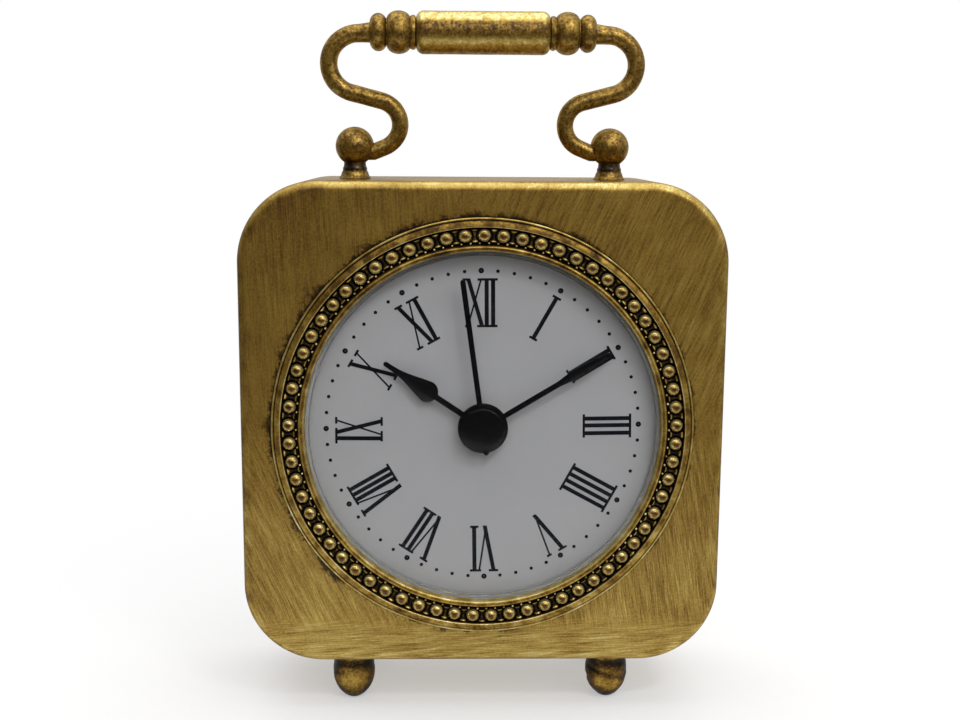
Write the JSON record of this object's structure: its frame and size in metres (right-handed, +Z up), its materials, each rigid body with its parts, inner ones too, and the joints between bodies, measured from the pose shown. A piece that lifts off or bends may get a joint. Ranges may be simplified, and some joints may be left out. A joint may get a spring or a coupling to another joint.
{
  "type": "table clock",
  "caption": "Small quartz table clock: round dial in a beaded bezel on a rounded-square cast case, four ball feet, a fixed turned carrying handle on top and a battery door behind.",
  "frame": {"origin": "middle of the clock's footprint, on the surface that it stands on", "axes": "+Z up, -Y the side that the dial faces, +X to the right of someone who looks at the dial"},
  "size_m": [0.108, 0.0444, 0.1586],
  "materials": {
    "antique_brass": "antique gold paint, brushed and darkened with a brown patina",
    "clear_lens": "clear polished acrylic",
    "dial_white": "matt pale grey-white with black print",
    "black_lacquer": "black lacquer",
    "bright_steel": "plain zinc-plated steel",
    "white_plastic": "moulded acetal",
    "black_plastic": "fine-grained moulded plastic",
    "magnet": "sintered magnet",
    "turned_brass": "turned brass",
    "soft_iron": "stamped soft iron",
    "copper_wire": "enamelled copper winding",
    "board_green": "solder mask",
    "cell_wrap": "plain printed sleeve"
  },
  "bodies": {
    "clock_body": {"battery": "cell_wrap", "bezel_ring": "antique_brass", "case_shell": "antique_brass", "centre_nut": "turned_brass", "circuit_board": "board_green", "coil": "copper_wire", "contact_negative": "bright_steel", "contact_positive": "bright_steel", "cover_screw_lower_left": "bright_steel", "cover_screw_lower_right": "bright_steel", "cover_screw_upper_left": "bright_steel", "cover_screw_upper_right": "bright_steel", "dial": "dial_white", "dial_plate": "bright_steel", "foot_front_left": "antique_brass", "foot_front_right": "antique_brass", "foot_rear_left": "antique_brass", "foot_rear_right": "antique_brass", "foot_screw_front_left": "bright_steel", "foot_screw_front_right": "bright_steel", "foot_screw_rear_left": "bright_steel", "foot_screw_rear_right": "bright_steel", "gear_bridge": "white_plastic", "handle": "antique_brass", "handle_screw_left": "bright_steel", "handle_screw_right": "bright_steel", "lens": "clear_lens", "movement_back": "black_plastic", "movement_front": "black_plastic", "plate_screw_bottom": "bright_steel", "plate_screw_left": "bright_steel", "plate_screw_right": "bright_steel", "plate_screw_top": "bright_steel", "quartz_crystal": "bright_steel", "rear_cover": "black_plastic", "stator": "soft_iron"},
    "hour": {"hour_hand": "black_lacquer", "hour_wheel": "white_plastic"},
    "minute": {"minute_hand": "black_lacquer", "minute_pipe": "white_plastic"},
    "motion_gear": {"motion_wheel": "white_plastic"},
    "setting_knob_body": {"setting_knob": "black_plastic"},
    "seconds": {"second_hand": "black_lacquer", "seconds_wheel": "white_plastic"},
    "intermediate_gear": {"intermediate_wheel": "white_plastic"},
    "rotor_body": {"rotor": "magnet"},
    "third_gear": {"third_wheel": "white_plastic"},
    "centre_gear": {"centre_wheel": "white_plastic"},
    "door": {"battery_door": "black_plastic"}
  },
  "joints": [
    {"name": "minute_turn", "type": "hinge", "parent": "clock_body", "child": "minute", "pos_m": [0, -0.01945, 0.06635], "axis": [0, 1, 0], "continuous": true},
    {"name": "hour_turn", "type": "hinge", "parent": "clock_body", "child": "hour", "pos_m": [0, -0.01865, 0.06635], "axis": [0, 1, 0], "continuous": true},
    {"name": "motion_wheel_turn", "type": "hinge", "parent": "clock_body", "child": "motion_gear", "pos_m": [0.00901, -0.0107, 0.07155], "axis": [0, 1, 0], "continuous": true},
    {"name": "setting_knob_turn", "type": "hinge", "parent": "clock_body", "child": "setting_knob_body", "pos_m": [0.01941, 0.0167, 0.07155], "axis": [0, 1, 0], "continuous": true},
    {"name": "second_turn", "type": "hinge", "parent": "clock_body", "child": "seconds", "pos_m": [0, -0.02025, 0.06635], "axis": [0, 1, 0], "continuous": true},
    {"name": "intermediate_wheel_turn", "type": "hinge", "parent": "clock_body", "child": "intermediate_gear", "pos_m": [0.00473, -0.0026, 0.07453], "axis": [0, 1, 0], "continuous": true},
    {"name": "rotor_turn", "type": "hinge", "parent": "clock_body", "child": "rotor_body", "pos_m": [0.00347, -0.001, 0.08163], "axis": [0, 1, 0], "continuous": true},
    {"name": "third_wheel_turn", "type": "hinge", "parent": "clock_body", "child": "third_gear", "pos_m": [-0.00883, -0.0075, 0.07145], "axis": [0, 1, 0], "continuous": true},
    {"name": "centre_wheel_turn", "type": "hinge", "parent": "clock_body", "child": "centre_gear", "pos_m": [0, -0.0091, 0.06635], "axis": [0, 1, 0], "continuous": true},
    {"name": "battery_door_swing", "type": "hinge", "parent": "clock_body", "child": "door", "pos_m": [0, 0.0154, 0.03925], "axis": [-1, 0, 0], "range_deg": [0, 85]}
  ],
  "couplings": [
    {"joint": "hour_turn", "follows": "minute_turn", "ratio": 0.083333},
    {"joint": "motion_wheel_turn", "follows": "minute_turn", "ratio": -0.33333},
    {"joint": "setting_knob_turn", "follows": "minute_turn", "ratio": 1},
    {"joint": "intermediate_wheel_turn", "follows": "second_turn", "ratio": -6},
    {"joint": "rotor_turn", "follows": "second_turn", "ratio": 30},
    {"joint": "third_wheel_turn", "follows": "second_turn", "ratio": -0.13333},
    {"joint": "centre_wheel_turn", "follows": "second_turn", "ratio": 0.016667}
  ]
}
